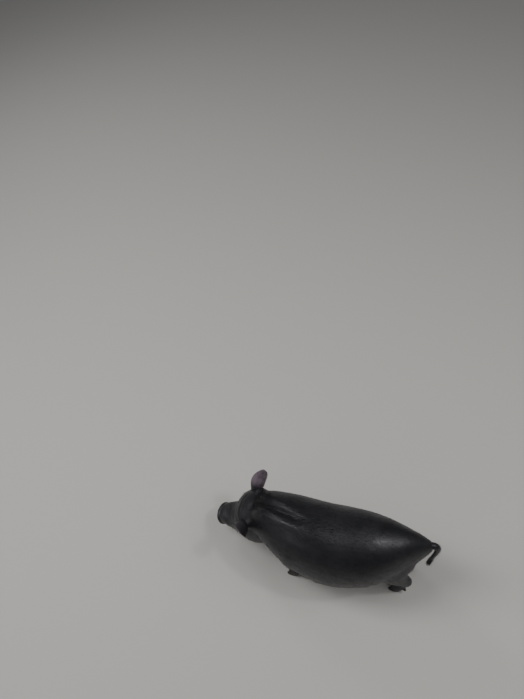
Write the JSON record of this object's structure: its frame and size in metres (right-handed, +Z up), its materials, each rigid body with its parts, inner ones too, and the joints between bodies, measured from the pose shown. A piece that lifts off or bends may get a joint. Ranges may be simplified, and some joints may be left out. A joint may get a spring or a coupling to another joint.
{
  "type": "pot bellied pig model",
  "caption": "Life-size still model of a young black pot bellied pig, standing square with its head lowered and turned a little to its right.",
  "frame": {"origin": "on the floor, under the middle of the whole pig's bounding box", "axes": "+Z up, -Y the way the body faces, +X the pig's left side"},
  "size_m": [0.2312, 0.5438, 0.2614],
  "materials": {
    "skin": "black pig skin with a satin sheen and sparse short bristles",
    "ear": "thin pinkish grey ear, darker towards its root",
    "eye": "wet dark brown eye",
    "horn": "dark hoof horn, worn matt"
  },
  "bodies": {
    "root": {"torso": "skin", "neck": "skin", "head": "skin", "tail": "skin", "leg_front_left": "skin", "leg_front_right": "skin", "leg_hind_left": "skin", "leg_hind_right": "skin", "ear_left": "ear", "ear_right": "ear", "eye_left": "eye", "eye_right": "eye", "hoof_front_left_inner": "horn", "hoof_front_left_outer": "horn", "hoof_front_right_inner": "horn", "hoof_front_right_outer": "horn", "hoof_hind_left_inner": "horn", "hoof_hind_left_outer": "horn", "hoof_hind_right_inner": "horn", "hoof_hind_right_outer": "horn", "dewclaw_front_left_inner": "horn", "dewclaw_front_left_outer": "horn", "dewclaw_front_right_inner": "horn", "dewclaw_front_right_outer": "horn", "dewclaw_hind_left_inner": "horn", "dewclaw_hind_left_outer": "horn", "dewclaw_hind_right_inner": "horn", "dewclaw_hind_right_outer": "horn"}
  },
  "joints": []
}
